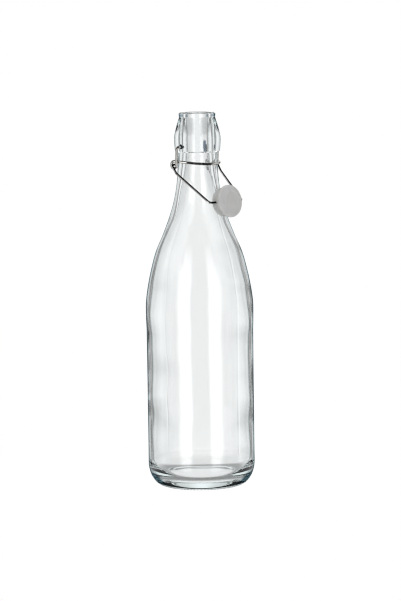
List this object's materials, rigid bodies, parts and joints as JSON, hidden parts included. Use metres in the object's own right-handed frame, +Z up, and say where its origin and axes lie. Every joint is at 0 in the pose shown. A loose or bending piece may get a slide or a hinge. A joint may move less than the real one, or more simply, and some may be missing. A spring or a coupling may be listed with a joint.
{
  "type": "swing top bottle",
  "caption": "Clear glass bottle with a tall shoulder and narrow neck, closed by a plastic stopper on a sprung wire bail and lever.",
  "frame": {"origin": "centre of the plane the bottle stands on, on the bottle's axis", "axes": "+Z up the bottle's axis; X along the closure's hinge line; the handle and the hanging stopper are on the -Y side"},
  "size_m": [0.0894, 0.0894, 0.31],
  "materials": {
    "glass": "clear soda glass, faintly blue-green at thick edges",
    "lever_steel": "bright drawn stainless wire",
    "bail_steel": "bright drawn stainless wire",
    "stopper_plastic": "translucent white moulded plastic, satin",
    "gasket_rubber": "translucent white silicone, matt"
  },
  "bodies": {
    "bottle": {"bottle": "glass"},
    "lever": {"lever_wire": "lever_steel"},
    "bail": {"bail_wire": "bail_steel"},
    "stopper": {"stopper": "stopper_plastic", "gasket": "gasket_rubber"}
  },
  "joints": [
    {"name": "lever_pivot", "type": "hinge", "parent": "bottle", "child": "lever", "pos_m": [0, 0, 0.282], "axis": [-1, 0, 0], "range_deg": [0, 70]},
    {"name": "bail_swing", "type": "hinge", "parent": "lever", "child": "bail", "pos_m": [0, 0.004, 0.2675], "axis": [-1, 0, 0], "range_deg": [0, 74]},
    {"name": "stopper_tilt", "type": "hinge", "parent": "bail", "child": "stopper", "pos_m": [0, -0.03252, 0.23729], "axis": [-1, 0, 0], "range_deg": [0, 116.92]}
  ],
  "couplings": [
    {"joint": "stopper_tilt", "follows": "bail_swing", "ratio": 1.58}
  ]
}
